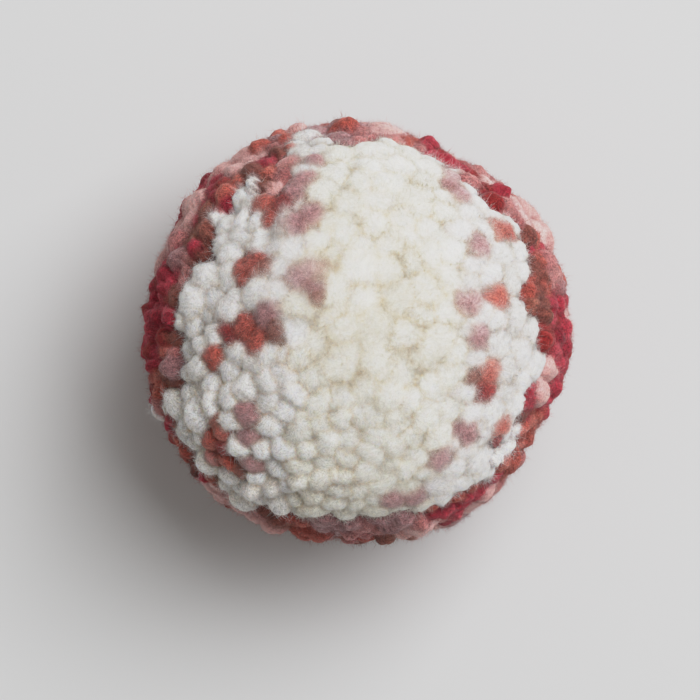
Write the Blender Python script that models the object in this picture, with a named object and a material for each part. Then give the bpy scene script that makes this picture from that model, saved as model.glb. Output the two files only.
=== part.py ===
"""Yarn pom pom: locks of cut yarn that spread from a tied middle into a trimmed ball.

A maker winds one arm of a pom pom maker with cream yarn and the other with berry yarn, so the
ball is two bundles that meet at a seam. Each bundle is one object: its locks stand apart and
are fused only at their roots, where the tie grips them.

Metres, +Z up. The origin is on the surface that the ball rests on, under its middle. The cream
bundle faces up.
"""

import math
import random
from collections import namedtuple

import bmesh
import bpy
from mathutils import Vector

# The trimmed ball.
CENTRE_HEIGHT = 0.0388  # the tied middle above the surface, less than the radius: it settles
TIED_RADIUS = 0.0130  # where the locks' roots are fused together
LENGTH_SPREAD = 0.0009  # hand trimming leaves some locks this much longer, some shorter
SEAM_GAP = 0.0006  # between the two bundles' tied roots

# The locks: the ball is shared out among them, each with 3 or 4 corners.
CELL_CORNERS = 278  # one more corner makes about one more lock
CORNER_STRAY = 0.030  # how far a corner strays, as a share of the radius
ROOT_GAP = 0.00040  # between two locks where they leave the tied middle
TIP_STRAY = 0.15  # how far a tip leans to one side, as a share of its lock's width
SEED = 11

# From the crown of the ball (0) to its underside (180): how far the yarn is trimmed.
Trim = namedtuple("Trim", "polar_deg radius")
TRIMS = (
    Trim(0, 0.0396),
    Trim(30, 0.0404),
    Trim(60, 0.0424),
    Trim(90, 0.0425),
    Trim(130, 0.0424),
    Trim(180, 0.0418),
)

# Round the ball's waist, anticlockwise from +X: how far it is out of round.
Waist = namedtuple("Waist", "azimuth_deg stretch")
WAISTS = (
    Waist(0, 1.008),
    Waist(30, 0.996),
    Waist(60, 0.954),
    Waist(90, 0.998),
    Waist(120, 1.014),
    Waist(150, 1.010),
    Waist(180, 1.018),
    Waist(210, 1.030),
    Waist(240, 1.014),
    Waist(270, 0.990),
    Waist(300, 0.994),
    Waist(330, 0.982),
    Waist(360, 1.008),
)

# Round the ball: how far down from the crown the cream bundle reaches.
Seam = namedtuple("Seam", "azimuth_deg polar_deg")
SEAMS = (
    Seam(0, 63),
    Seam(12, 57),
    Seam(30, 66),
    Seam(62, 72),
    Seam(88, 67),
    Seam(113, 51),
    Seam(135, 59),
    Seam(154, 53),
    Seam(180, 61),
    Seam(201, 76),
    Seam(235, 71),
    Seam(270, 63),
    Seam(308, 67),
    Seam(335, 59),
    Seam(360, 63),
)

# A lock from its neck to its tip: share of its length, of its cell's width, of its lean.
Ring = namedtuple("Ring", "length_share width_share lean_share")
LOCK_RINGS = (
    Ring(0.60, 0.84, 0.0),
    Ring(0.87, 0.935, 0.0),
    Ring(0.950, 0.84, 0.4),
    Ring(0.988, 0.61, 0.8),
    Ring(1.0, 0.32, 1.0),
)

Yarn = namedtuple("Yarn", "colour roughness")
CREAM = Yarn((0.87, 0.84, 0.77, 1.0), 0.95)
BERRY = Yarn((0.50, 0.14, 0.13, 1.0), 0.95)


def between(rows, at):
    """Eased value of a two-column table at a point of its first column."""
    for low, high in zip(rows, rows[1:]):
        if at <= high[0]:
            share = (at - low[0]) / (high[0] - low[0])
            eased = (1 - math.cos(math.pi * share)) / 2
            return low[1] + (high[1] - low[1]) * eased
    return rows[-1][1]


def polar_of(direction):
    return math.degrees(direction.angle(Vector((0, 0, 1))))


def azimuth_of(direction):
    return math.degrees(math.atan2(direction.y, direction.x)) % 360


def reach(direction, longer):
    """Length of a lock in this direction, shorter where it would pass the surface below."""
    polar = polar_of(direction)
    out_of_round = (between(WAISTS, azimuth_of(direction)) - 1) * math.sin(math.radians(polar))
    free = between(TRIMS, polar) * (1 + out_of_round) + longer
    if direction.z < 0:
        return min(free, -CENTRE_HEIGHT / direction.z)
    return free


def share_out_ball():
    """A ball of the tied middle's size, with one face for the root of each lock."""
    cells = bmesh.new()
    strays = random.Random(SEED)
    turn = math.pi * (3 - math.sqrt(5))
    for step in range(CELL_CORNERS):
        height = 1 - (2 * step + 1) / CELL_CORNERS
        round_off = math.sqrt(1 - height * height)
        corner = Vector((round_off * math.cos(turn * step), round_off * math.sin(turn * step), height))
        corner += Vector([strays.uniform(-CORNER_STRAY, CORNER_STRAY) for _ in range(3)])
        cells.verts.new(corner.normalized())
    bmesh.ops.convex_hull(cells, input=cells.verts[:])
    bmesh.ops.join_triangles(
        cells,
        faces=cells.faces[:],
        angle_face_threshold=math.pi,
        angle_shape_threshold=math.pi,
    )
    for _ in range(2):
        bmesh.ops.smooth_vert(
            cells, verts=cells.verts[:], factor=0.5, use_axis_x=True, use_axis_y=True, use_axis_z=True
        )
        for vert in cells.verts:
            vert.co.normalize()
    stand_on_a_lock(cells)
    return cells


def stand_on_a_lock(cells):
    """Turns the ball until the lowest root faces straight down."""
    down = Vector((0, 0, -1))
    lowest = max(cells.faces, key=lambda face: face.calc_center_median().dot(down))
    turn = lowest.calc_center_median().rotation_difference(down)
    for vert in cells.verts:
        vert.co = (turn @ vert.co) * TIED_RADIUS


def above_seam(face):
    middle = face.calc_center_median()
    return polar_of(middle) < between(SEAMS, azimuth_of(middle))


def close_seam(bundle, side):
    """Closes a bundle where it meets the other, half the gap to its own side."""
    rim = [edge for edge in bundle.edges if edge.is_boundary]
    for vert in {vert for edge in rim for vert in edge.verts}:
        vert.co.z += side * SEAM_GAP / 2
    filled = bmesh.ops.holes_fill(bundle, edges=rim, sides=0)["faces"]
    bmesh.ops.poke(bundle, faces=filled)


def grow_lock(bundle, root, strays):
    """Draws one lock out of its root, ring by ring, inside its own cell of the ball."""
    centre = root.calc_center_median().normalized()
    corners = [vert.co.normalized() - centre for vert in root.verts]
    width = max(corner.length for corner in corners)
    lean = Vector([strays.uniform(-1, 1) for _ in range(3)]) * TIP_STRAY * width
    longer = strays.uniform(-LENGTH_SPREAD, LENGTH_SPREAD)
    bmesh.ops.inset_individual(bundle, faces=[root], thickness=ROOT_GAP / 2, use_even_offset=True)
    end = root
    for ring in LOCK_RINGS:
        end = bmesh.ops.extrude_discrete_faces(bundle, faces=[end])["faces"][0]
        for vert, corner in zip(end.verts, corners):
            outward = (centre + corner * ring.width_share + lean * ring.lean_share).normalized()
            length = reach(outward, longer)
            vert.co = outward * (TIED_RADIUS + (length - TIED_RADIUS) * ring.length_share)


def yarn_material(name, yarn):
    material = bpy.data.materials.new(name)
    material.use_nodes = True
    surface = material.node_tree.nodes["Principled BSDF"]
    surface.inputs["Base Color"].default_value = yarn.colour
    surface.inputs["Roughness"].default_value = yarn.roughness
    surface.inputs["Metallic"].default_value = 0.0
    material.diffuse_color = yarn.colour
    return material


def yarn_half(name, yarn, is_cream):
    """One bundle: its tied root and its locks, as one closed body."""
    bundle = share_out_ball()
    roots = [face for face in bundle.faces if above_seam(face) == is_cream]
    others = [face for face in bundle.faces if above_seam(face) != is_cream]
    bmesh.ops.delete(bundle, geom=others, context="FACES")
    close_seam(bundle, 1 if is_cream else -1)
    strays = random.Random(SEED + len(roots))
    for root in roots:
        grow_lock(bundle, root, strays)
    mesh = bpy.data.meshes.new(name)
    bundle.to_mesh(mesh)
    bundle.free()
    mesh.shade_smooth()
    mesh.materials.append(yarn_material(name + "_yarn", yarn))
    half = bpy.data.objects.new(name, mesh)
    bpy.context.scene.collection.objects.link(half)
    print(name, len(roots), "locks")
    return half


def stand_on_origin(halves):
    """Sets the ball on the surface, with the middle of its outline over the origin."""
    points = [vert.co for half in halves for vert in half.data.vertices]
    middle_x = (min(p.x for p in points) + max(p.x for p in points)) / 2
    middle_y = (min(p.y for p in points) + max(p.y for p in points)) / 2
    for half in halves:
        half.location = (-middle_x, -middle_y, CENTRE_HEIGHT)


def main():
    for left_over in list(bpy.data.objects):
        bpy.data.objects.remove(left_over)
    halves = [
        yarn_half("cream_half", CREAM, is_cream=True),
        yarn_half("berry_half", BERRY, is_cream=False),
    ]
    stand_on_origin(halves)


main()
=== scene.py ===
import math

import bmesh
import bpy
import numpy as np
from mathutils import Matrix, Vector


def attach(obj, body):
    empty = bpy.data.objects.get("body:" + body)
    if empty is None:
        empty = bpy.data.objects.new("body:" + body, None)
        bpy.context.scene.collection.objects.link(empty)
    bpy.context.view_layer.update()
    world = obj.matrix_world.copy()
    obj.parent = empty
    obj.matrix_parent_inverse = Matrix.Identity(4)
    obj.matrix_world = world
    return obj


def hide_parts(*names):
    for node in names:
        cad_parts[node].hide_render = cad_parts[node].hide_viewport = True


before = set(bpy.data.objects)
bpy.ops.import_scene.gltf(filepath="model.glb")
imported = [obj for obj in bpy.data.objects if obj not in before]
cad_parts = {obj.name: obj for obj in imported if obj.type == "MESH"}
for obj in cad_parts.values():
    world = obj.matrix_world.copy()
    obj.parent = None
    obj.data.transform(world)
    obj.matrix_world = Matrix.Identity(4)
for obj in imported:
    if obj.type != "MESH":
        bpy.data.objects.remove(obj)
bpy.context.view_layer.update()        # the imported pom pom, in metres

random = np.random.default_rng(7)

ball = {
    "centre": (0.00016, -0.00065, 0.0388),
    "usualRadius": 0.042,     # for measuring along its face
    "widestRadius": 0.0425,
    "tableGap": 0.00002,      # how high the flat spot stands above the table
    "trims": (  # degrees down from the crown, radius
        (0, 0.0396), (30, 0.0404), (60, 0.0424), (90, 0.0425), (130, 0.0424), (180, 0.0418),
    ),
    "waists": (  # degrees round from +X, how far out of round
        (0, 0.990), (30, 0.980), (60, 0.932), (90, 0.978), (105, 0.984), (120, 0.998), (150, 0.992),
        (180, 0.992), (210, 1.006), (240, 1.000), (255, 0.984), (270, 0.972), (300, 0.988), (330, 0.956),
        (360, 0.990),
    ),
    "seam": (  # degrees round from +X, degrees down from the crown that the cream half reaches
        (0, 58), (5, 55), (9, 53), (14, 51), (17, 52), (20, 56), (24, 59), (30, 61.5), (36, 63),
        (42, 62), (48, 59), (52, 64), (56, 71), (62, 67), (70, 69.5), (78, 67.5), (87, 65), (92, 62),
        (98, 64), (103, 67), (106, 71), (109, 75), (111, 70), (113, 54), (116, 44), (118, 45),
        (123, 52), (126, 55), (131, 62.5), (135, 55), (139, 57), (143, 56), (148, 52), (153, 50),
        (157, 54), (160, 55.5), (169, 56), (175, 57.5), (185, 57.5), (189, 56), (192, 55), (194, 60),
        (197, 67), (200, 77), (209, 79), (215, 77), (234, 77), (239, 71), (246, 65.5), (255, 64.5),
        (264, 63), (270, 62), (290, 62.5), (294, 64), (298, 64), (303, 62), (307, 65), (314, 68),
        (318, 62.5), (322, 56), (326, 61), (329, 64), (333, 58), (338, 55.5), (342, 60), (346, 64.5),
        (353, 65), (356, 60), (360, 58),
    ),
}


def eased(rows, at):  # rows of a place and its value, joined by smooth steps
    keys, values = np.array(rows, float).T
    low = np.clip(np.searchsorted(keys, at, side="right") - 1, 0, len(keys) - 2)
    share = (at - keys[low]) / (keys[low + 1] - keys[low])
    return values[low] + (values[low + 1] - values[low]) * (1 - np.cos(np.pi * share)) / 2


def unit(vectors):
    return vectors / np.linalg.norm(vectors, axis=-1, keepdims=True)


def polarOf(out):  # degrees down from the crown
    return np.degrees(np.arccos(np.clip(out[:, 2], -1, 1)))


def azimuthOf(out):  # degrees round from +X
    return np.degrees(np.arctan2(out[:, 1], out[:, 0])) % 360


def reach(out):  # from the ball's centre to its trimmed face, or to the table
    polar = polarOf(out)
    stretch = (eased(ball["waists"], azimuthOf(out)) - 1) * np.sin(np.radians(polar))
    free = eased(ball["trims"], polar) * (1 + stretch)
    toTable = ball["centre"][2] / np.maximum(-out[:, 2], 1e-6)
    return np.where(out[:, 2] < 0, np.minimum(free, toTable), free)


camera = {
    "distance": 0.60,         # from the ball's centre
    "aim": (-0.0016, -0.0036),  # from the ball's centre
    "width": 0.1397,          # what the frame shows at the ball's centre
    "sensor": 36,             # millimetres
}


def placeCamera():
    data = bpy.data.cameras.new("camera")
    data.sensor_width = camera["sensor"]
    data.lens = camera["sensor"] * camera["distance"] / camera["width"]
    data.clip_start, data.clip_end = 0.01, 20
    eye = bpy.data.objects.new("camera", data)
    x, y, z = ball["centre"]
    eye.location = (x + camera["aim"][0], y + camera["aim"][1], z + camera["distance"])
    bpy.context.collection.objects.link(eye)
    bpy.context.scene.camera = eye


def asSeen(out):  # millimetres right and up from the ball's centre, as seen from straight above
    place = out * reach(out)[:, None]
    near = camera["distance"] / (camera["distance"] - place[:, 2])
    return 1000 * place[:, :2] * near[:, None]


yarns = {  # each yarn's darkest, usual and lightest strands, as linear colour
    "cream": ((0.60, 0.56, 0.46), (0.82, 0.80, 0.74), (0.94, 0.93, 0.905)),
    "white": ((0.56, 0.535, 0.505), (0.81, 0.793, 0.792), (0.95, 0.948, 0.95)),
    "rust": ((0.22, 0.040, 0.033), (0.435, 0.104, 0.081), (0.56, 0.19, 0.15)),
    "red": ((0.15, 0.012, 0.014), (0.28, 0.022, 0.024), (0.42, 0.075, 0.066)),
    "crimson": ((0.17, 0.011, 0.022), (0.40, 0.030, 0.056), (0.54, 0.095, 0.125)),
    "mauve": ((0.21, 0.10, 0.107), (0.395, 0.215, 0.224), (0.55, 0.38, 0.39)),
    "rose": ((0.27, 0.080, 0.084), (0.475, 0.20, 0.195), (0.60, 0.33, 0.32)),
    "salmon": ((0.48, 0.22, 0.21), (0.70, 0.42, 0.405), (0.77, 0.54, 0.52)),
    "brown": ((0.12, 0.034, 0.030), (0.24, 0.074, 0.058), (0.39, 0.16, 0.115)),
}
plainYarns = ("cream", "white")

# What else turns up now and then among the tufts of one dyed stretch.
strands = {
    "rust": ("brown", "rose"), "red": ("crimson", "rust"), "crimson": ("red", "crimson"),
    "mauve": ("rose", "mauve"), "rose": ("mauve", "rust"), "salmon": ("rose", "salmon"),
    "brown": ("rust", "crimson"), "white": ("white",), "cream": ("cream",),
}

# Tufts that stand out in the ball: millimetres right and up as seen from above, width, yarn.
marked = (
    # upper left
    (-4, 39.6, 5.0, "mauve"), (-8.4, 40.8, 4.4, "mauve"), (-12, 41.4, 2.6, "salmon"),
    (-8.2, 36.8, 3.6, "white"), (-12.8, 37.9, 3.0, "white"), (-11.2, 34.6, 2.8, "white"),
    (-16, 39.8, 2.8, "rust"), (-20.4, 37.2, 3.2, "rust"), (-16.9, 37.6, 2.4, "rose"),
    (-17.6, 34.8, 3.2, "crimson"), (-13.8, 37, 2.2, "rust"), (-15.6, 35.8, 1.8, "brown"),
    (-14, 34.2, 3.8, "rose"), (-22.6, 34.8, 5.2, "salmon"), (-26, 33.2, 3.6, "salmon"),
    (-24.8, 31.4, 3.2, "rust"), (-20.8, 31.2, 3.6, "brown"), (-18.2, 29.6, 3.0, "brown"),
    (-18.4, 32.2, 2.6, "rust"), (-15.4, 31.6, 3.0, "rose"), (-29, 30, 3.6, "crimson"),
    (-31.8, 28, 3.8, "crimson"), (-29.4, 27.6, 3.0, "crimson"), (-31.4, 25.4, 2.8, "crimson"),
    (-26.6, 29, 2.6, "rust"), (-26.8, 26.2, 3.0, "crimson"), (-28.4, 25.2, 2.4, "rose"),
    (-23.6, 27.6, 3.4, "white"), (-21.4, 26.4, 3.2, "white"), (-11.6, 30.2, 3.4, "mauve"),
    (-12.6, 27.8, 3.6, "mauve"), (-16.2, 29, 2.4, "salmon"), (-18.6, 26, 3.8, "rust"),
    (-17.6, 23.6, 2.6, "rust"), (-14.6, 25.8, 3.4, "red"), (-9, 34.4, 2.2, "mauve"),
    (-9.6, 23.4, 3.6, "mauve"), (-12.6, 21.4, 4.0, "mauve"), (-14.4, 23.8, 2.6, "white"),
    (-21, 13.2, 3.6, "rust"), (-22.9, 11.4, 3.0, "rust"), (-18.6, 12.8, 2.0, "brown"),
    (-19.8, 10.8, 3.2, "white"), (-11, 10.2, 4.2, "mauve"), (-8.8, 8.2, 2.2, "mauve"),
    (-8.2, 6.4, 1.4, "brown"), (-27.4, 21.4, 3.6, "white"), (-24.2, 21.8, 3.8, "white"),
    (-20.4, 22.4, 4.0, "white"), (-15.4, 20.6, 3.2, "white"), (-11.8, 25, 2.6, "white"),
    (-20.4, 18, 4.0, "white"), (-16.6, 17.2, 3.8, "white"), (-26.2, 16.2, 5.0, "white"),
    (-19.6, 29, 2.6, "brown"),
    # left
    (-34.4, 22.4, 4.8, "salmon"), (-37.4, 18.6, 4.8, "salmon"), (-31.2, 22.2, 3.2, "brown"),
    (-33, 18.6, 3.4, "brown"), (-30.6, 18.2, 3.2, "brown"), (-31.4, 15.4, 3.2, "brown"),
    (-34.6, 15.6, 3.2, "rose"), (-38, 14.4, 3.6, "crimson"), (-39.6, 11.2, 3.6, "crimson"),
    (-36.8, 12, 2.8, "crimson"), (-36, 9.4, 2.8, "rose"), (-40, 7.6, 3.8, "crimson"),
    (-37.2, 6.6, 3.2, "brown"), (-41, 4.2, 3.4, "crimson"), (-38.6, 3.4, 3.4, "crimson"),
    (-42, 0.8, 3.2, "crimson"), (-39.8, 0, 3.4, "crimson"), (-37.6, -1, 2.8, "brown"),
    (-42, -3, 3.2, "crimson"), (-39.6, -3.6, 3.4, "crimson"), (-37.4, -4.6, 2.8, "rose"),
    (-41.4, -6.4, 3.4, "crimson"), (-38.6, -6.8, 3.2, "brown"), (-40.6, -9.6, 3.8, "rust"),
    (-38, -9.6, 2.8, "brown"), (-40.6, -12.6, 2.6, "rose"), (-39.8, -16, 3.6, "white"),
    (-41.6, -14, 1.8, "crimson"),
    # the middle of the left
    (-26, 0, 3.8, "red"), (-22.6, 0.8, 3.8, "rust"), (-20.2, -1.6, 4.2, "rust"),
    (-18.4, 3.2, 4.4, "mauve"), (-17, 0.4, 2.6, "brown"), (-15.2, -4.4, 2.4, "white"),
    (-29.4, -5.2, 3.4, "rust"), (-25, -4.6, 4.0, "white"), (-21.2, -7, 5.0, "white"),
    (-18.6, -14, 5.2, "white"), (-15.4, -9, 4.8, "white"),
    # lower left
    (-37.8, -18.2, 3.0, "crimson"), (-36.4, -22.2, 2.6, "rust"), (-34.8, -25.2, 2.6, "rust"),
    (-32.6, -27.4, 3.0, "brown"), (-29.8, -29.2, 3.0, "rust"), (-33.4, -23, 4.0, "white"),
    (-29.8, -22, 3.8, "rust"), (-27.4, -20.6, 3.2, "rust"), (-27.2, -23.4, 3.2, "red"),
    (-28.8, -18.4, 2.2, "brown"), (-29.6, -25.8, 3.6, "rose"), (-26.6, -26.8, 3.4, "rust"),
    (-24, -28.2, 2.8, "brown"), (-21.8, -26.8, 3.6, "mauve"), (-22.4, -17, 4.4, "mauve"),
    (-22.4, -20.8, 4.2, "mauve"), (-27.4, -33, 3.2, "salmon"), (-23.8, -35.6, 3.2, "salmon"),
    (-20.4, -37, 3.4, "rose"), (-15.6, -38.4, 4.0, "brown"), (-11.8, -39, 3.6, "rust"),
    (-7.8, -39, 4.2, "mauve"), (-3.6, -39.8, 4.4, "mauve"), (0.8, -40, 4.0, "rose"),
    # lower right
    (4.4, -40.8, 3.4, "brown"), (7.8, -37.2, 4.0, "mauve"), (7.2, -33.8, 3.4, "mauve"),
    (11.6, -33.4, 3.6, "mauve"), (11.6, -37.2, 3.6, "rose"), (14.6, -38.6, 3.0, "salmon"),
    (14.8, -35.8, 3.0, "rust"), (17.4, -35.4, 3.2, "crimson"), (20.4, -33.6, 3.4, "rust"),
    (19.4, -36.6, 2.6, "crimson"), (23.8, -33.2, 3.4, "crimson"), (26.6, -32, 3.4, "salmon"),
    (28.8, -30, 2.8, "rose"), (16, -31, 6.0, "white"), (24.2, -26, 7.4, "white"),
    (16.4, -25.4, 4.2, "mauve"), (21.4, -20.4, 3.8, "mauve"), (18.9, -23.1, 2.4, "white"),
    (30.8, -26.6, 3.6, "rust"), (31, -23.8, 3.4, "rust"), (27.8, -22.4, 2.4, "rose"),
    (28.8, -19.2, 3.6, "rust"), (33.4, -21.4, 2.6, "rust"), (34.8, -18.8, 3.2, "rust"),
    (31.6, -20.2, 2.4, "white"), (33.6, -17, 2.0, "brown"), (35, -14.8, 3.2, "crimson"),
    (37.2, -14.2, 3.0, "crimson"), (38.8, -11.2, 2.6, "crimson"), (36.8, -10.8, 2.6, "salmon"),
    (40.2, -7.2, 3.0, "crimson"), (40.4, -3.8, 2.8, "crimson"), (26, -8.4, 3.8, "rust"),
    (25.4, -12, 3.4, "red"), (22.8, -9, 2.0, "brown"), (24.4, -0.8, 3.2, "mauve"),
    # upper right
    (39, -1, 3.0, "red"), (39.2, 2.6, 3.4, "crimson"), (42, 3.6, 3.4, "salmon"),
    (39.6, 5.6, 3.2, "crimson"), (41.2, 8.4, 2.4, "crimson"), (38.8, 10.6, 3.2, "rose"),
    (36.6, 5.4, 2.8, "brown"), (34.8, 8.6, 3.0, "rust"), (36.4, 11.2, 3.0, "brown"),
    (35.4, 14.2, 3.0, "brown"), (37.2, 16.6, 2.8, "crimson"), (38.8, 14, 2.6, "rose"),
    (35.6, 19, 2.8, "rust"), (33.4, 21.6, 2.0, "brown"), (33.9, 22.8, 4.8, "salmon"),
    (31.1, 26.2, 5.2, "salmon"), (31, 23.6, 1.8, "rose"), (28, 27.4, 3.0, "crimson"),
    (25.6, 29.2, 3.2, "red"), (24, 32.4, 3.0, "rose"), (19.4, 34, 3.0, "crimson"),
    (15.4, 36.2, 2.8, "crimson"), (12.4, 37.6, 3.0, "rose"), (9.8, 38.8, 3.0, "rust"),
    (6.4, 39.2, 3.4, "rose"), (3, 41, 2.8, "salmon"), (0.6, 41, 2.6, "rose"),
    (18.4, 31.2, 3.2, "mauve"), (21, 31.4, 1.8, "rose"), (20.4, 27.6, 3.8, "mauve"),
    (18.6, 29.2, 2.0, "mauve"), (21.8, 29.4, 2.0, "white"), (27.4, 20.8, 2.8, "rust"),
    (29.9, 20.4, 3.2, "rust"), (23.8, 17.6, 3.6, "mauve"), (21.6, 5.8, 3.6, "mauve"),
    (28.2, 6.6, 3.5, "rust"),
)

tufts = {
    "creamSpacing": 0.0066,
    "lowerSpacing": 0.0050,   # the front of the cream band, where the yarn is trimmed finer
    "lowerFrom": 12,          # mm below the ball's middle where that begins
    "lowerOver": 10,
    "whiteSpacing": 0.0056,
    "dyedSpacing": {
        "crimson": 0.0030, "red": 0.0031, "rust": 0.0031, "brown": 0.0029, "rose": 0.0034,
        "mauve": 0.0038, "salmon": 0.0050, "white": 0.0044,
    },
    "band": ((-40, -14.0), (-12, -12.5), (8, -12.0), (24, -9.0), (40, -4.0)),  # cream yarn: mm up, left edge
    "bandRight": ((-40, 16.0), (-12, 19.5), (8, 21.0), (24, 18.5), (40, 12.0)),
    "strays": 0.25,           # the share in another yarn of their stretch
    "mixed": (0.80, 1.22),    # small tufts to large ones
    "packing": 0.76,          # how close two are planted, in their own spacing
    "jostle": 1.2,            # how far off they push each other, in the same
    "radius": 0.60,           # in the distance to the nearest others
    "keepsSize": 0.7,         # how much of its own size a tuft keeps among larger or smaller ones
    "markedRadius": (0.00069, 0.00060),  # for each mm of a marked tuft's width: dyed yarn, plain yarn
    "markedStand": 0.3,       # how much of the unevenness the marked tufts take
    "dyedProud": 0.0003,      # dyed tufts stand above the white ones round them
    "dyedParting": 0.7,       # and part less
    "uneven": 0.00050,        # how far a tuft stands above or below its neighbours
    "unevenDyed": 0.00085,
    "slant": 0.14,            # how far its crown leans
    "oval": 0.13,
    "crown": (2.5, 2.9),      # how flat it is before it rolls over: at the ball's crown, low down
    "crownDyed": 2.6,
    "drop": (0.140, 0.84),    # how far it falls to its edge, in its own radius: at the crown, low down
    "dyedDrop": {
        "crimson": 0.56, "red": 0.52, "rust": 0.50, "brown": 0.46, "rose": 0.46, "mauve": 0.40,
        "salmon": 0.34, "white": 0.42,
    },
    "toneSpread": (1, 0.5),   # steps of tone between tufts: dyed yarn, plain yarn
    "toneEnds": (1, 7),       # the darkest and the lightest tuft
    "litAndFeltedRight": 5,           # mm right of which dyed wool is felted into the white, and painted a step lighter on the lit side as painted light
    "paintedLightAndShade": (               # painted light and shade on the plain yarn, patches shown lighter or darker: mm right, mm up, mm across, steps
        (0, -20, 11, 1.4), (-12, 33, 9, -1.8), (32, 8, 13, -1.0), (-27, 18, 11, 0.5), (4, 4, 12, -0.9),
        (-25, -22, 13, 1.3),
    ),
    "mottle": (0.9, 0.4),     # steps of tone within one tuft: dyed yarn, plain yarn
}

felted = {  # where the cream wool has felted into one face, in mm as seen from above
    "middle": (2, 8),
    "out": 15,                # how far it runs from its middle
    "fading": 12,             # and over how much more it gives way to parted tufts
    "parted": 0.25,           # how clear the strands get there
    "leftMore": 0.9,          # how much more they part on the left
    "downhill": (-0.62, -0.43),  # towards the near left, where they part most
    "from": 4,                # how far from the ball's middle they start to
    "over": 23,               # and how much further they have parted
    "easing": (1.6, 0.6),     # how late tufts part on the way there, and how soon their strands show
}


def bandEdges(seen):
    up = seen[:, 1].clip(-40, 40)
    return eased(tufts["band"], up), eased(tufts["bandRight"], up)


def outAt(right, up):  # the direction from the ball's centre that is seen there, and how far past its edge
    azimuth = np.degrees(np.arctan2(up, right)) % 360
    down = np.radians(np.arange(0, 89, 0.5))
    around = np.radians(azimuth)[:, None]
    fan = np.stack([np.sin(down) * np.cos(around), np.sin(down) * np.sin(around), np.cos(down) + 0 * around], 2)
    seen = np.linalg.norm(asSeen(fan.reshape(-1, 3)), axis=1).reshape(len(azimuth), -1)
    seen = np.maximum.accumulate(seen, axis=1)
    wanted = np.hypot(right, up)
    steps = [np.searchsorted(row, far).clip(0, len(down) - 1) for row, far in zip(seen, wanted)]
    return fan[np.arange(len(wanted)), steps], wanted - seen[:, -1]


underside = {
    "stretches": 420,         # round the whole ball
    "from": -0.12,            # kept below this height, in the ball's radius
    "widths": (0.002, 0.007),
    "yarns": {                # the share of each
        "crimson": 0.25, "rust": 0.19, "salmon": 0.15, "red": 0.12, "mauve": 0.10, "rose": 0.09, "brown": 0.07,
        "white": 0.03,
    },
}


def underneath():  # stretches of yarn on the side that rests on the table
    centres = unit(random.normal(size=(underside["stretches"], 3)))
    centres = centres[centres[:, 2] < underside["from"]]
    dyes, shares = np.array(list(underside["yarns"])), list(underside["yarns"].values())
    return centres, random.choice(dyes, len(centres), p=shares)


def nearestPatch(out):  # which marked tuft or stretch a direction lies in, and how far past its edge
    past = ball["widestRadius"] * np.sqrt(np.maximum(2 - 2 * out @ patchOuts.T, 0)) - patchWidths / 2
    nearest = past.argmin(1)
    return nearest, past[np.arange(len(out)), nearest]


def spacingAt(out):
    seen = asSeen(out)
    top = polarOf(out) < eased(ball["seam"], azimuthOf(out))
    left, right = bandEdges(seen)
    inBand = (seen[:, 0] > left) & (seen[:, 0] < right)
    lower = np.clip((-seen[:, 1] - tufts["lowerFrom"]) / tufts["lowerOver"], 0, 1)
    cream = tufts["creamSpacing"] * (1 - lower) + tufts["lowerSpacing"] * lower
    dyed = np.array([tufts["dyedSpacing"][yarn] for yarn in patchYarns])[nearestPatch(out)[0]]
    return np.where(top, np.where(inBand, cream, tufts["whiteSpacing"]), dyed)


def scatterTufts(tries=60000, most=4000, rounds=12):  # the marked tufts, with others packed in between them
    tried = unit(random.normal(size=(tries, 3)))
    spacing = spacingAt(tried) * random.uniform(*tufts["mixed"], len(tried))
    fixed = len(marked)
    kept = np.empty((most, 3))
    gaps = np.empty(most)
    kept[:fixed], gaps[:fixed] = patchOuts[:fixed], patchWidths[:fixed]
    count = fixed
    for out, gap in zip(tried, spacing):
        apart = ball["usualRadius"] * np.sqrt(np.maximum(2 - 2 * kept[:count] @ out, 0))
        if (apart < tufts["packing"] * (gaps[:count] + gap) / 2).any():
            continue
        kept[count], gaps[count] = out, gap
        count += 1
    outs, gaps = kept[:count].copy(), gaps[:count].copy()
    for turn in range(rounds):  # jostled until they are packed
        offset = outs[:, None] - outs[None]
        apart = ball["usualRadius"] * np.linalg.norm(offset, axis=2) + np.eye(count)
        push = np.clip(1 - apart / (tufts["jostle"] * (gaps[:, None] + gaps[None]) / 2), 0, None) ** 2
        moved = unit(outs + 0.004 * (offset * (push / apart)[:, :, None]).sum(1))
        outs[fixed:] = moved[fixed:]
    return outs, gaps


def yarnOf(outs):  # each tuft's yarn, and whether it is on the cream half
    seen = asSeen(outs)
    top = polarOf(outs) < eased(ball["seam"], azimuthOf(outs))
    left, right = bandEdges(seen)
    names = np.where((seen[:, 0] > left) & (seen[:, 0] < right), "cream", "white").astype("<U8")
    nearest, past = nearestPatch(outs)
    names = np.where(~top | (past < 0.0001), patchYarns[nearest], names)
    for other in np.flatnonzero(random.random(len(outs)) < tufts["strays"]):
        if other >= len(marked):
            names[other] = random.choice(strands[names[other]])
    return names, top


yarnList = list(yarns)
toneSteps = 9             # each yarn's tones from dark to light
usualStep = 4


def toneColours(yarn, step):  # from a yarn's dark tone through its usual one to its light one
    dark, usual, light = np.array([yarns[name] for name in yarnList]).transpose(1, 0, 2)
    step = np.clip(step, 0, toneSteps - 1)[..., None]
    darker = dark[yarn] + (usual - dark)[yarn] * step / usualStep
    lighter = usual[yarn] + (light - usual)[yarn] * (step - usualStep) / usualStep
    return np.where(step < usualStep, darker, lighter)


def lowness(out):  # none at the crown and the far right, all of it at the near left
    down = asSeen(out) @ felted["downhill"]
    return np.clip((down - felted["from"]) / felted["over"], 0, 1) ** felted["easing"][0]


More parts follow.
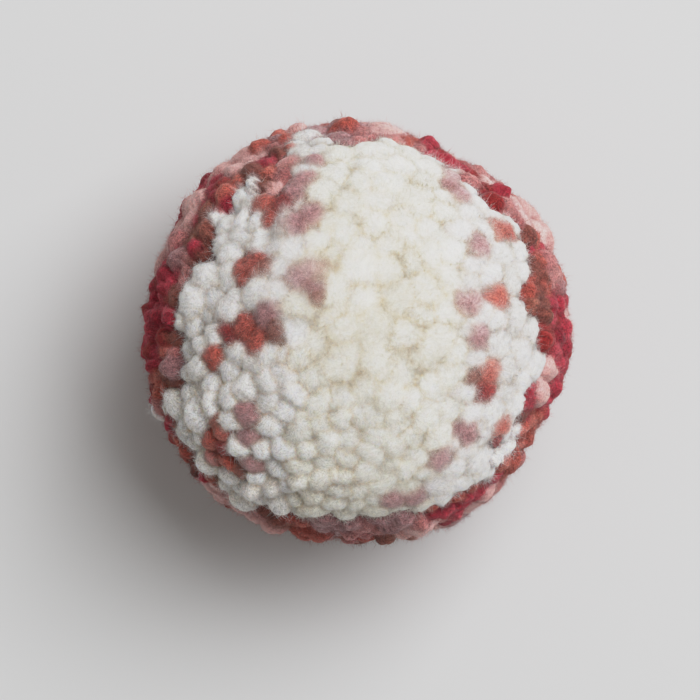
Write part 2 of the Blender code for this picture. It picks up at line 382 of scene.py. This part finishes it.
def besideSeam(out):  # none over the felted face, all of it near the seam, and more on the left
    right, up = (asSeen(out) - felted["middle"]).T
    beside = np.clip((np.hypot(right, up) - felted["out"]) / felted["fading"], 0, 1)
    return beside * (1 + felted["leftMore"] * np.clip(-right / felted["out"], 0, 1))


def crispness(out):  # how clearly the strands show, where felted wool gives way to parted tufts
    return np.maximum(lowness(out) ** felted["easing"][1], felted["parted"] * besideSeam(out))


def neighboursOf(outs, near=5):  # how far away the nearest tufts are, and their sizes
    apart = ball["usualRadius"] * np.linalg.norm(outs[:, None] - outs[None], axis=2) + 9 * np.eye(len(outs))
    order = np.argsort(apart, axis=1)[:, :near]
    return np.take_along_axis(apart, order, 1).mean(1), gaps[order].mean(1)


print("tufts: scattering")
centre = np.array(ball["centre"])
markedRight, markedUp, markedWidths = np.array([row[:3] for row in marked], float).T
markedOuts, past = outAt(markedRight, markedUp)
proud = np.clip(past + 0.1 * markedWidths, 0, 1.2) / 1000        # those at the rim stand out past it
hiddenOuts, hiddenYarns = underneath()
patchOuts = np.concatenate([markedOuts, hiddenOuts])
patchWidths = np.concatenate([markedWidths / 1000, random.uniform(*underside["widths"], len(hiddenOuts))])
patchYarns = np.concatenate([np.array([row[3] for row in marked]), hiddenYarns])
outs, gaps = scatterTufts()
count = len(outs)
yarnNames, isTop = yarnOf(outs)
yarnIndex = np.array([yarnList.index(name) for name in yarnNames])
isDyed = ~np.isin(yarnNames, plainYarns)

print("tufts: tones")
tones = usualStep + random.normal(size=count) * np.where(isDyed, *tufts["toneSpread"])
# painted light and shade: plain tufts made lighter or darker in patches, and their fibres with them
for right, up, across, steps in tufts["paintedLightAndShade"]:
    tones += ~isDyed * steps * np.exp(-((asSeen(outs) - (right, up)) ** 2).sum(1) / across ** 2)
# painted light: dyed tufts on the lit right side a step lighter, partly felted into the white
tones += isTop & isDyed & (asSeen(outs)[:, 0] > tufts["litAndFeltedRight"])
tones = np.clip(tones, *tufts["toneEnds"])

print("tufts: shapes")
fixed = slice(0, len(marked))
low = lowness(outs)
apart, gapsNear = neighboursOf(outs)
radii = tufts["radius"] * apart * (gaps / gapsNear) ** tufts["keepsSize"]
widened = np.where(isDyed[fixed], *tufts["markedRadius"]) * markedWidths * isTop[fixed]
radii[fixed] = np.maximum(radii[fixed], widened)
feet = centre + outs * reach(outs)[:, None]
side = unit(np.cross(outs, unit(random.normal(size=outs.shape))))
turned = np.stack([side, np.cross(outs, side), outs], 1)         # a tuft's two ways along the face, and out
slant = random.normal(size=(count, 2)) * tufts["slant"] * np.where(isTop, 0.4 + 0.6 * low, 1)[:, None]
oval = 1 + random.normal(size=count).clip(-2, 2) * tufts["oval"]
lobes = random.uniform(0, math.tau, count)
uphill = unit(np.stack([turned[:, 0, 2], turned[:, 1, 2]], 1))
fans = unit(0.9 * uphill + random.normal(size=(count, 2))) * random.uniform(0.6, 1.1, (count, 1))
parts = np.where(isDyed, tufts["dyedParting"], 1) * np.maximum(low, 0.2 * besideSeam(outs))
plainDrop = tufts["drop"][0] + (tufts["drop"][1] - tufts["drop"][0]) * parts
drops = np.where(isTop, plainDrop, [tufts["dyedDrop"].get(name, 0) for name in yarnNames])
plainCrown = tufts["crown"][0] + (tufts["crown"][1] - tufts["crown"][0]) * low
crowns = np.where(isTop, plainCrown, tufts["crownDyed"])
uneven = np.where(isTop, tufts["uneven"] * (0.3 + 1.2 * low), tufts["unevenDyed"])
stand = random.normal(size=count).clip(-2, 2) * uneven
stand[fixed] = tufts["markedStand"] * stand[fixed] + proud
stand[isTop & isDyed] += tufts["dyedProud"]
print("tufts:", count, "of which on the cream half", int(isTop.sum()), "about", apart[isTop].mean(), "apart")


def ripples(places, length, waves=14):  # smooth noise between about -1 and 1
    ways = unit(random.normal(size=(waves, 3))) * math.tau / length * random.uniform(0.7, 1.4, (waves, 1))
    return np.sin(places @ ways.T + random.uniform(0, math.tau, waves)).sum(1) * math.sqrt(2 / waves) * 0.7


def wander(places, length, far):
    return places + far * np.stack([ripples(places, length) for way in range(3)], 1)


def nearestTufts(out, near=9):
    found = np.empty((len(out), near), int)
    for start in range(0, len(out), 20000):
        alike = out[start:start + 20000] @ outs.T
        found[start:start + 20000] = np.argpartition(-alike, near, axis=1)[:, :near]
    return found


puff = {
    "wander": ((0.0035, 0.00026), (0.0010, 0.00006)),  # how a tuft's edge strays: length of its waves, depth
    "lobes": 0.04,            # three to a tuft
    "blend": (0.00038, 0.00015),  # how softly neighbours run together: at the crown, low down
    "blendDyed": 0.00022,
    "mingle": 0.00034,        # how softly their colours run together
    "crease": 0.00035,        # how wide the creases are, in height between neighbours
    "corner": 0.00040,
    "pit": 0.0003,            # extra depth where three of them meet
    "patches": (0.007, 0.009),  # how large the stretches are where creases and corners close up
    "seam": 0.0006,           # how wide the seam's rolled edge is, in height between the halves
    "ragged": 0.0003,         # along the seam
    "rolled": 0.0002,         # down into it
    "rough": {True: (0.00005, 0.0012), False: (0.00009, 0.0018)},  # on the cream half or not: height, length
    "absent": -0.004,         # height of the other half's tufts, which lie out of the way
    "deepest": -0.0024,
}


def puffs(out, onTop):  # how high the tufts' pressed ends stand in each direction from the ball's centre
    places = centre + out * reach(out)[:, None]
    for length, far in puff["wander"]:
        places = wander(places, length, far)
    near = nearestTufts(out)
    offset = places[:, None] - feet[near]
    across = (offset * turned[near, 0]).sum(2) / radii[near]
    along = (offset * turned[near, 1]).sum(2) / radii[near]
    lobed = 1 + puff["lobes"] * np.sin(3 * np.arctan2(along, across) + lobes[near])
    far = np.hypot(across * oval[near], along / oval[near]) * lobed
    lean = (slant[near, 0] * across + slant[near, 1] * along) * radii[near]
    height = stand[near] + lean - drops[near] * radii[near] * far ** crowns[near]
    ranked = -np.sort(-height, axis=1)
    # where creases and corners lie between tufts; woolTint paints shade there
    parted = np.clip(0.65 + 0.4 * ripples(places, puff["patches"][0]), 0.2, 1.1)
    crease = np.exp((ranked[:, 1] - ranked[:, 0]) / puff["crease"]) * parted
    meeting = np.clip(0.5 + 0.6 * ripples(places, puff["patches"][1]), 0, 1)
    corner = np.exp((ranked[:, 2] - ranked[:, 0]) / puff["corner"]) * meeting

    own = np.where(isTop[near] == onTop, height, puff["absent"])
    highest = own.max(1)
    lead = highest - np.where(isTop[near] == onTop, puff["absent"], height).max(1)
    soft = puff["blend"][0] * (1.5 - 0.8 * parted)
    blend = soft + (puff["blend"][1] - soft) * crispness(out) if onTop else np.full(len(out), puff["blendDyed"])
    share = np.exp((own - highest[:, None]) / blend[:, None])
    high = highest + blend * np.log(share.sum(1)) - corner * puff["pit"]
    seamed = np.exp(-np.abs(lead) / puff["seam"])
    high += seamed * (puff["ragged"] * ripples(places, 0.0011) - puff["rolled"])
    rough, length = puff["rough"][onTop]
    high += rough * ripples(places, length)

    best = own.argmax(1)
    rows = np.arange(len(out))
    seen = height if onTop else own            # the cream half takes up dye from the berry yarn beside it
    mixed = np.exp((seen - seen.max(1, keepdims=True)) / puff["mingle"])
    mottle = (ripples(places, 0.0013) + ripples(places, 0.0040) * 0.6)[:, None]
    tone = tones[near] + mottle * np.where(isDyed[near], *tufts["mottle"])
    base = (mixed[:, :, None] * toneColours(yarnIndex[near], tone)).sum(1) / mixed.sum(1)[:, None]
    ends = np.stack([across[rows, best], along[rows, best]], 1) - fans[near[rows, best]]
    spread = np.linalg.norm(ends, axis=1)      # strands fan out from beside the foot of each tuft
    combed = np.column_stack([9 * ends / spread[:, None], 3 * spread + 7.31 * near[rows, best] % 50])
    return {
        "high": np.maximum(high, puff["deepest"]), "owner": near[rows, best], "base": base, "crease": crease,
        "corner": corner, "combed": combed, "lead": lead, "flank": far[rows, best].clip(0, 1),
        "dyed": (mixed * isDyed[near]).sum(1) / mixed.sum(1),
    }


halves = {
    "cream": {
        "node": "cream_half", "slot": "cream_half_yarn",
        "pole": 1,                         # it faces up
        "cells": 200,                      # across its sheet
        "overlap": 4.5,                    # degrees that it runs on past the seam
        "crease": (0.98, 0.92, 0.84),      # painted shade: what is left of the colour in a crease
        "corner": (0.91, 0.84, 0.72),      # painted shade where three tufts meet
        "flank": (0.93, 0.87, 0.78),       # painted shade at a tuft's edge
        "mixedWoolAndShade": (0.58, 0.46, 0.40),      # where dyed and plain wool mix: browner mixed strands, and painted shade in the creases there
        "deeper": 2.2,                     # how much darker the painted shade in creases gets low down, on the side away from the light
        "grain": (0.42, 1.58),             # its dark and light strands, in the yarn's colour
        "strokes": 0.52,                   # how much of the grain is drawn out along the strands
        "relief": 0.00033,                 # how far strands stand up
        "soft": 0.0024,                    # how far light soaks in
        "strands": 2.5,                    # steps of tone between loose fibres
        "sheen": 0.30,
    },
    "berry": {
        "node": "berry_half", "slot": "berry_half_yarn",
        "pole": -1,
        "cells": 230,
        "overlap": 4.5,
        # painted shade in creases, where three tufts meet, at tufts' edges, and in creases where dyed and plain
        # wool mix
        "crease": (0.78, 0.66, 0.66),
        "corner": (0.60, 0.42, 0.42),
        "flank": (0.90, 0.84, 0.84),
        "mixedWoolAndShade": (0.58, 0.46, 0.40),
        "deeper": 0.0,
        "grain": (0.44, 1.54),
        "strokes": 0.45,
        "relief": 0.0002,
        "soft": 0.0005,
        "strands": 2.7,
        "sheen": 0.12,
    },
}


def pastSeam(azimuth, pole):  # degrees from the pole to a smooth edge that clears the seam on every side
    nearby = (azimuth[:, None] + np.arange(-15, 16, 3)) % 360
    seam = eased(ball["seam"], nearby.ravel()).reshape(nearby.shape)
    reached = seam if pole > 0 else 180 - seam
    return np.mean([reached[:, first:first + 6].max(1) for first in range(6)], 0)


def capDirections(flat, half):  # a square sheet of cells, spread evenly over one half of the ball
    a, b = flat[:, 0], flat[:, 1]
    wide = np.abs(a) > np.abs(b)
    big, small = np.where(wide, a, b), np.where(wide, b, a)
    turn = math.pi / 4 * small / np.where(big == 0, 1, big)
    around = np.where(wide, turn, math.pi / 2 - turn) + np.where(big < 0, math.pi, 0)
    edge = np.radians(pastSeam(np.degrees(around), half["pole"]) + half["overlap"])
    down = 2 * np.arcsin(np.abs(big) * np.sin(edge / 2))
    along, aside = np.sin(down) * np.cos(around), np.sin(down) * np.sin(around)
    return np.stack([along, aside, half["pole"] * np.cos(down)], 1)


def woolSheet(name, cells):  # a square sheet, closed by a cone from its rim to one point below
    shape = bmesh.new()
    bmesh.ops.create_grid(shape, x_segments=cells, y_segments=cells, size=1)
    rim = [e for e in shape.edges if e.is_boundary]
    drawn = bmesh.ops.extrude_edge_only(shape, edges=rim)["geom"]
    inner = [v for v in drawn if isinstance(v, bmesh.types.BMVert)]
    bmesh.ops.pointmerge(shape, verts=inner, merge_co=(0, 0, -1))
    bmesh.ops.recalc_face_normals(shape, faces=shape.faces)
    mesh = bpy.data.meshes.new(name)
    shape.to_mesh(mesh)
    shape.free()
    return mesh


def woolTint(half, out, skinPlaces, puffed):  # the yarn's colour with painted shade in creases, corners and at tufts' edges; how clearly strands show
    crease, dyed, base = puffed["crease"], puffed["dyed"], puffed["base"]
    deep = lowness(out)[:, None]
    lost = {place: 1 - np.array(half[place]) for place in ("crease", "corner", "flank", "mixedWoolAndShade")}
    # painted shade in creases, darker low down
    tint = base * (1 - crease[:, None] * lost["crease"] * (1 + half["deeper"] * deep))
    tint *= 1 - lost["flank"] * (0.2 + 0.8 * deep) * (puffed["flank"] ** 2)[:, None]     # painted shade at a tuft's edge, more of it low down
    # painted shade where three tufts meet
    tint *= 1 - puffed["corner"][:, None] * lost["corner"]
    # painted shade in the creases where dyed and plain wool mix, browner where their strands mingle
    shaded = np.clip(0.1 + 0.7 * ripples(skinPlaces, 0.005), 0, 1) * crease * 4 * dyed * (1 - dyed)
    tint *= 1 - shaded[:, None] * lost["mixedWoolAndShade"]
    if half["pole"] > 0:
        fleck = dyed * np.clip(1.1 - 2 * base[:, 1], 0.4, 1)     # pale yarn shows its strands less
        clear = np.clip(np.maximum(0.15 + 0.43 * crispness(out), fleck), 0.1, 1)
    else:
        clear = np.clip(1.3 - 2 * base[:, 1], 0.45, 1)
    return np.column_stack([tint, clear])


def spreadSheet(mesh, flat, skin):  # the square sheet as its own map, with the cone in the sheet's margin
    corner = np.empty(len(mesh.loops), int)
    mesh.loops.foreach_get("vertex_index", corner)
    spots = 0.5 + 0.48 * flat[corner, :2]
    for face in mesh.polygons:
        for loop in face.loop_indices:
            if not skin[corner[loop]]:
                ends = [flat[corner[k], :2] for k in face.loop_indices if k != loop]
                middle = (ends[0] + ends[1]) / 2
                spots[loop] = 0.5 + 0.48 * middle + 0.015 * np.sign(middle) * (np.abs(middle) > 0.9999)
    mesh.uv_layers.new(name="OFBake").uv.foreach_set("vector", spots.astype(np.float32).ravel())


def woolSurface(name):
    half = halves[name]
    mesh = woolSheet(name + "Wool", half["cells"])
    flat = np.empty(len(mesh.vertices) * 3)
    mesh.vertices.foreach_get("co", flat)
    flat = flat.reshape(-1, 3)
    skin = flat[:, 2] > -0.5                   # the rest is the one point at the ball's centre
    out = capDirections(flat[skin, :2], half)
    puffed = puffs(out, half["pole"] > 0)
    skinPlaces = centre + out * (reach(out) + puffed["high"])[:, None]
    skinPlaces[:, 2] = np.maximum(skinPlaces[:, 2], ball["tableGap"])
    places = np.tile(centre, (len(flat), 1))
    tint = np.full((len(flat), 4), 0.3)
    combed = np.zeros((len(flat), 3))
    places[skin], combed[skin] = skinPlaces, puffed["combed"]
    tint[skin] = woolTint(half, out, skinPlaces, puffed)
    mesh.vertices.foreach_set("co", places.ravel())
    if half["pole"] < 0:
        mesh.flip_normals()
    mesh.shade_smooth()
    dye = mesh.color_attributes.new(name="yarnColour", type="FLOAT_COLOR", domain="POINT")
    dye.data.foreach_set("color", tint.astype(np.float32).ravel())
    comb = mesh.attributes.new(name="combed", type="FLOAT_VECTOR", domain="POINT")
    comb.data.foreach_set("vector", combed.astype(np.float32).ravel())
    spreadSheet(mesh, flat, skin)
    mesh.update()
    piece = bpy.data.objects.new(name + "Wool", mesh)
    bpy.context.collection.objects.link(piece)
    mesh.materials.append(woolMaterial(name + "Wool", half))
    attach(piece, "root")
    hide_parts(half["node"])
    print(piece.name, len(mesh.polygons), "faces")
    return skinPlaces, puffed["owner"], puffed["crease"], puffed["lead"]


wool = {
    "roughness": 0.9,
    "specular": 0.15,
    "sheenRoughness": 0.6,
    "sheenTint": (1, 0.98, 0.95, 1),
    "soakColour": (1, 0.85, 0.65),
    "clumps": 3200,           # matted fibres, to the metre
    "contrast": (0.38, 0.62),
}


def woolMaterial(name, half):
    material = bpy.data.materials.new(name)
    material.use_nodes = True
    nodes, links = material.node_tree.nodes, material.node_tree.links
    surface = nodes["Principled BSDF"]
    surface.inputs["Roughness"].default_value = wool["roughness"]
    surface.inputs["Specular IOR Level"].default_value = wool["specular"]
    surface.inputs["Sheen Weight"].default_value = half["sheen"]
    surface.inputs["Sheen Roughness"].default_value = wool["sheenRoughness"]
    surface.inputs["Sheen Tint"].default_value = wool["sheenTint"]
    surface.inputs["Subsurface Weight"].default_value = 1.0
    surface.inputs["Subsurface Radius"].default_value = wool["soakColour"]
    surface.inputs["Subsurface Scale"].default_value = half["soft"]
    dye = nodes.new("ShaderNodeAttribute")
    dye.attribute_name = "yarnColour"
    comb = nodes.new("ShaderNodeAttribute")
    comb.attribute_name = "combed"
    strokes = nodes.new("ShaderNodeTexNoise")  # drawn out along the strands
    strokes.inputs["Scale"].default_value = 1
    strokes.inputs["Detail"].default_value = 2
    strokes.inputs["Distortion"].default_value = 0.4
    links.new(comb.outputs["Vector"], strokes.inputs["Vector"])
    where = nodes.new("ShaderNodeTexCoord")
    clumps = nodes.new("ShaderNodeTexNoise")
    clumps.inputs["Scale"].default_value = wool["clumps"]
    clumps.inputs["Detail"].default_value = 2
    links.new(where.outputs["Object"], clumps.inputs["Vector"])
    softer = nodes.new("ShaderNodeMath")
    softer.operation = "MULTIPLY"
    softer.inputs[1].default_value = 1 - half["strokes"]
    links.new(clumps.outputs["Fac"], softer.inputs[0])
    grain = nodes.new("ShaderNodeMath")
    grain.operation = "MULTIPLY_ADD"
    grain.inputs[1].default_value = half["strokes"]
    links.new(strokes.outputs["Fac"], grain.inputs[0])
    links.new(softer.outputs["Value"], grain.inputs[2])
    shade = nodes.new("ShaderNodeMapRange")
    shade.inputs["From Min"].default_value, shade.inputs["From Max"].default_value = wool["contrast"]
    shade.inputs["To Min"].default_value, shade.inputs["To Max"].default_value = half["grain"]
    links.new(grain.outputs["Value"], shade.inputs["Value"])
    mix = nodes.new("ShaderNodeMixRGB")        # the dye's alpha is how clearly strands show
    mix.blend_type = "MULTIPLY"
    links.new(dye.outputs["Alpha"], mix.inputs["Fac"])
    links.new(dye.outputs["Color"], mix.inputs["Color1"])
    links.new(shade.outputs["Result"], mix.inputs["Color2"])
    links.new(mix.outputs["Color"], surface.inputs["Base Color"])
    bump = nodes.new("ShaderNodeBump")
    links.new(dye.outputs["Alpha"], bump.inputs["Strength"])
    bump.inputs["Distance"].default_value = half["relief"]
    links.new(grain.outputs["Value"], bump.inputs["Height"])
    links.new(bump.outputs["Normal"], surface.inputs["Normal"])
    return material


skins = {name: woolSurface(name) for name in halves}

fibreKinds = {
    "nap": {      # lies over the tufts' ends
        "length": (0.0008, 0.0016), "width": 0.000070, "lift": 0.25, "stray": 0.9, "curl": 0.6,
        "edges": 0.0,         # how much more of it grows in creases
        "bends": 1,
        "crown": 0.15,        # how much of it is left where the cream wool is felted
    },
    "edge": {     # crosses the creases between tufts
        "length": (0.0008, 0.0016), "width": 0.000056, "lift": 0.6, "stray": 0.7, "curl": 1.1,
        "edges": 1.5, "bends": 1, "crown": 0.35,
    },
    "halo": {     # the finest, standing off the ball
        "length": (0.0008, 0.0020), "width": 0.000055, "lift": 0.8, "stray": 0.9, "curl": 1.0,
        "edges": 0.0, "bends": 1, "crown": 1.0,
    },
    "loose": {    # long loose fibres
        "length": (0.0010, 0.0018), "width": 0.000050, "lift": 0.35, "stray": 0.9, "curl": 1.1,
        "edges": 0.0, "bends": 2, "crown": 0.5,
    },
}

fibrePieces = {  # half, kind of fibre, how many
    "creamNap": ("cream", "nap", 20000),
    "creamFuzz": ("cream", "edge", 30000),
    "creamLoose": ("cream", "loose", 1500),
    "berryNap": ("berry", "nap", 20000),
    "berryFuzz": ("berry", "edge", 30000),
    "berryHalo": ("berry", "halo", 30000),
}


growth = {
    "offTable": (0.004, 0.016),  # fibres start to grow this high, and are all there this much higher
    "underneath": 0.12,       # the share that grows below
    "seam": 0.0008,           # how far from the seam more of the edge fibres grow, in height
    "dyedShare": 0.8,         # of fibres on the cream half's dyed tufts
    "dyedLength": 0.6,
    "root": (0.0003, 0.00012),  # how far a root lies to one side, and how deep
    "shortest": (0.5, 0.0012),  # where they would cross the seam, and how far from it, in height
    "taper": 0.5,             # how much thinner they get
    "paler": 0.35,            # than the tuft's own tone
    "inCrease": 2.5,          # steps darker in a crease, as painted shade
    "dyedSpread": 1.2,        # how much fibres differ in tone: on dyed tufts, and on felted and parted wool
    "plainSpread": (0.35, 1.05),
    "tip": (0.92, 0.10),      # painted shade along a fibre: how bright the root is, down in the wool, and how much brighter the tip
}


def whereFibresGrow(half, fibre):  # how likely a fibre is to grow from each point of the wool
    skinPlaces, owner, crease, lead = skins[half]
    start, over = growth["offTable"]
    offTable = np.clip((skinPlaces[:, 2] - start) / over, growth["underneath"], 1)
    weight = (0.02 + crease) ** fibre["edges"] * (lead > 0.0001) * offTable
    weight = weight * (1 + 2 * fibre["edges"] * np.exp(-lead / growth["seam"]))
    if half == "cream":
        weight = weight * (fibre["crown"] + (1 - fibre["crown"]) * crispness(unit(skinPlaces - centre)))
        weight = weight * np.where(isDyed[owner], growth["dyedShare"], 1)
    return weight / weight.sum()


def growFibres(name, half, kind, count):
    fibre = fibreKinds[kind]
    skinPlaces, owner, crease, lead = skins[half]
    rows = random.choice(len(skinPlaces), count, p=whereFibresGrow(half, fibre))
    owner = owner[rows]
    heart = centre + outs[owner] * (reach(outs[owner]) - 1.5 * radii[owner])[:, None]
    outward = unit(skinPlaces[rows] - heart)
    loose = random.normal(size=(count, 3))
    loose -= outward * (loose * outward).sum(1, keepdims=True)
    ahead = unit(outward * fibre["lift"] + unit(loose) * fibre["stray"] * random.uniform(0.3, 1, (count, 1)))
    bend = random.normal(size=(count, 3)) * fibre["curl"] - outward * 0.25
    twist = random.normal(size=(count, 3)) * fibre["curl"] * 0.8
    aside, deep = growth["root"]
    start = skinPlaces[rows] + unit(loose) * random.uniform(0, aside, (count, 1)) - outward * deep
    length = random.uniform(*fibre["length"], count) * np.where(isDyed[owner], growth["dyedLength"], 1)
    shortest, clearOfSeam = growth["shortest"]
    length *= np.clip(lead[rows] / clearOfSeam, shortest, 1)

    shape = bmesh.new()                                   # a spindle of three sides, pointed at both ends
    bmesh.ops.create_uvsphere(shape, u_segments=3, v_segments=fibre["bends"] + 1, radius=1)
    spindle = np.array([v.co for v in shape.verts])
    t = (1 - np.degrees(np.arccos(spindle[:, 2].clip(-1, 1))) / 180)[None, :, None]
    sideways = unit(np.cross(ahead, random.normal(size=(count, 3))))
    other = np.cross(ahead, sideways)
    curve = ahead[:, None] * t + bend[:, None] * 0.5 * t ** 2 + twist[:, None] * 0.5 * t ** 3
    places = start[:, None] + length[:, None, None] * curve
    flatness = np.hypot(spindle[:, 0], spindle[:, 1])
    ring = np.where(flatness < 1e-4, 0, 1)[:, None] * spindle[:, :2] / np.maximum(flatness, 1e-4)[:, None]
    taper = (fibre["width"] / 2 * (1 - growth["taper"] * t[0, :, 0]))[:, None] * ring
    places = places + sideways[:, None] * taper[None, :, :1] + other[:, None] * taper[None, :, 1:]
    places[:, :, 2] = np.maximum(places[:, :, 2], ball["tableGap"])

    spread = halves[half]["strands"] * np.ones(count)
    if half == "cream":
        feltedSpread, partedMore = growth["plainSpread"]
        plain = feltedSpread + partedMore * crispness(outs[owner])
        spread *= np.where(isDyed[owner], growth["dyedSpread"], plain)
    step = tones[owner] + (random.normal(size=count) + growth["paler"]) * spread
    # fibres in creases painted darker, as painted shade
    step = np.clip(np.rint(step - growth["inCrease"] * crease[rows]), 0, toneSteps - 1).astype(int)
    # painted shade: each fibre darker at its root, down in the wool
    tone = toneColours(yarnIndex[owner], step)[:, None] * (growth["tip"][0] + growth["tip"][1] * t)
    stripe = np.stack([0.5 + 0.3 * ring[:, 0], 0.1 + 0.8 * t[0, :, 0]], 1)
    tile = (np.stack([yarnIndex[owner], step], 1)[:, None] + stripe[None]) / toneSteps  # one for each tone
    piece = joinCopies(name, shape, places, tone.clip(0, 0.97), tile)
    piece.data.materials.append(fibreMaterial(name, halves[half]["sheen"]))
    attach(piece, "root")
    print(name, count, "fibres,", sum(len(f.verts) - 2 for f in shape.faces) * count, "triangles")
    shape.free()


def joinCopies(name, shape, places, colours, maps):
    # places, colours and maps: for every copy, one for each of the shape's vertices
    copies, perCopy = places.shape[:2]
    faces = [[v.index for v in f.verts] for f in shape.faces]
    sizes = np.array([len(f) for f in faces])
    corners = np.concatenate(faces)
    allCorners = (corners[None] + perCopy * np.arange(copies)[:, None]).ravel()
    allSizes = np.tile(sizes, copies)
    mesh = bpy.data.meshes.new(name)
    mesh.vertices.add(copies * perCopy)
    mesh.vertices.foreach_set("co", places.astype(np.float32).ravel())
    mesh.loops.add(len(allCorners))
    mesh.loops.foreach_set("vertex_index", allCorners.astype(np.int32))
    mesh.polygons.add(len(allSizes))
    starts = np.concatenate([[0], np.cumsum(allSizes)[:-1]])
    mesh.polygons.foreach_set("loop_start", starts.astype(np.int32))
    mesh.update(calc_edges=True)
    mesh.shade_smooth()
    tint = mesh.color_attributes.new(name="yarnColour", type="FLOAT_COLOR", domain="POINT")
    rgba = np.concatenate([colours, np.ones((*colours.shape[:2], 1))], 2)
    tint.data.foreach_set("color", rgba.astype(np.float32).ravel())
    spots = maps[np.arange(copies)[:, None], corners[None]]
    mesh.uv_layers.new(name="OFBake").uv.foreach_set("vector", spots.astype(np.float32).ravel())
    piece = bpy.data.objects.new(name, mesh)
    bpy.context.collection.objects.link(piece)
    return piece


def fibreMaterial(name, sheen):
    material = bpy.data.materials.new(name)
    material.use_nodes = True
    nodes, links = material.node_tree.nodes, material.node_tree.links
    surface = nodes["Principled BSDF"]
    surface.inputs["Roughness"].default_value = 0.85
    surface.inputs["Specular IOR Level"].default_value = 0.15
    surface.inputs["Sheen Weight"].default_value = sheen
    surface.inputs["Sheen Roughness"].default_value = 0.5
    tint = nodes.new("ShaderNodeAttribute")
    tint.attribute_name = "yarnColour"
    links.new(tint.outputs["Color"], surface.inputs["Base Color"])
    return material


for name, (half, kind, amount) in fibrePieces.items():
    growFibres(name, half, kind, amount)


studio = {
    "floorReach": 1.5,        # from its middle to its edges
    "floorColour": (0.695, 0.70, 0.71, 1),
    "roomColour": (1.0, 0.975, 0.92, 1),
    "roomStrength": 0.27,
    "windowPlace": (0.576, 0.500, 1.22),
    "windowAim": (0, 0, 0.03),
    "windowAcross": 1.00,
    "windowPower": 20.1,
    "windowColour": (0.99, 0.995, 1.0),
    "curve": (                # how bright, how bright it is shown
        (0.25, 0.245), (0.40, 0.412), (0.52, 0.545), (0.62, 0.630), (0.72, 0.690), (0.85, 0.738),
    ),
    "brightest": 0.775,
}


def layFloor():
    shape = bmesh.new()
    bmesh.ops.create_grid(shape, x_segments=1, y_segments=1, size=studio["floorReach"])
    data = bpy.data.meshes.new("floor")
    shape.to_mesh(data)
    shape.free()
    floor = bpy.data.objects.new("floor", data)
    bpy.context.collection.objects.link(floor)
    material = bpy.data.materials.new("paleFloor")
    material.use_nodes = True
    surface = material.node_tree.nodes["Principled BSDF"]
    surface.inputs["Base Color"].default_value = studio["floorColour"]
    surface.inputs["Roughness"].default_value = 0.9
    data.materials.append(material)


def roomLight():
    world = bpy.data.worlds.new("studio")
    world.use_nodes = True
    background = world.node_tree.nodes["Background"]
    background.inputs["Color"].default_value = studio["roomColour"]
    background.inputs["Strength"].default_value = studio["roomStrength"]
    bpy.context.scene.world = world


def windowLight():
    data = bpy.data.lights.new("window", "AREA")
    data.size, data.energy, data.color = studio["windowAcross"], studio["windowPower"], studio["windowColour"]
    lamp = bpy.data.objects.new("window", data)
    lamp.location = studio["windowPlace"]
    lamp.rotation_mode = "QUATERNION"
    ahead = Vector(studio["windowPlace"]) - Vector(studio["windowAim"])
    lamp.rotation_quaternion = ahead.to_track_quat("Z", "Y")
    bpy.context.collection.objects.link(lamp)


def softHighlights():  # bright wool keeps its shading instead of burning out
    view = bpy.context.scene.view_settings
    view.view_transform = "Standard"
    view.use_curve_mapping = True
    curve = view.curve_mapping.curves[3]
    curve.points[-1].location = (1.0, studio["brightest"])
    for bright, shown in studio["curve"]:
        curve.points.new(bright, shown)
    view.curve_mapping.update()


print("studio: floor, light and camera")
layFloor()
roomLight()
windowLight()
softHighlights()
placeCamera()
